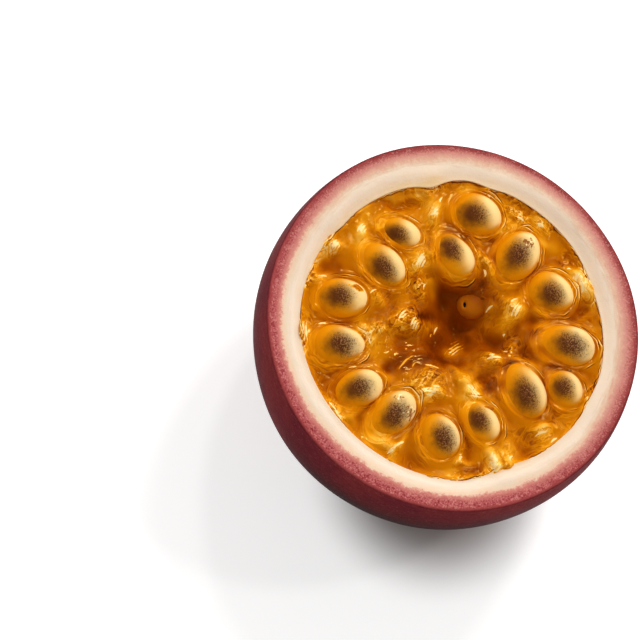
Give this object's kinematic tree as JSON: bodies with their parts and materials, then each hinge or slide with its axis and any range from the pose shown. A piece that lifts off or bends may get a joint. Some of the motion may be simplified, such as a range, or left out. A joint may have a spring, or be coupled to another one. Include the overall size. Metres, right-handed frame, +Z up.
{
  "type": "passion fruit half",
  "caption": "Half a purple passion fruit lying cut side up: a round wall of peel and pith around juicy pulp, with plump seeds in their sacs ringing a small hollow.",
  "frame": {"origin": "centre of the small flat spot on the round back that the half rests on", "axes": "+Z straight up through the cut face, +X and +Y along the cut face"},
  "size_m": [0.0514, 0.0511, 0.0313],
  "materials": {
    "peel": "satin maroon peel, cream pith at the cut",
    "pulp": "wet and glossy",
    "seed": "moist, cream with a brown patch",
    "sac": "wet and glossy"
  },
  "bodies": {
    "root": {"shell": "peel", "pulp": "pulp", "seed_01": "seed", "seed_02": "seed", "seed_03": "seed", "seed_04": "seed", "seed_05": "seed", "seed_06": "seed", "seed_07": "seed", "seed_08": "seed", "seed_09": "seed", "seed_10": "seed", "seed_11": "seed", "seed_12": "seed", "seed_13": "seed", "seed_14": "seed", "seed_15": "seed", "hollow_sac": "sac"}
  },
  "joints": []
}
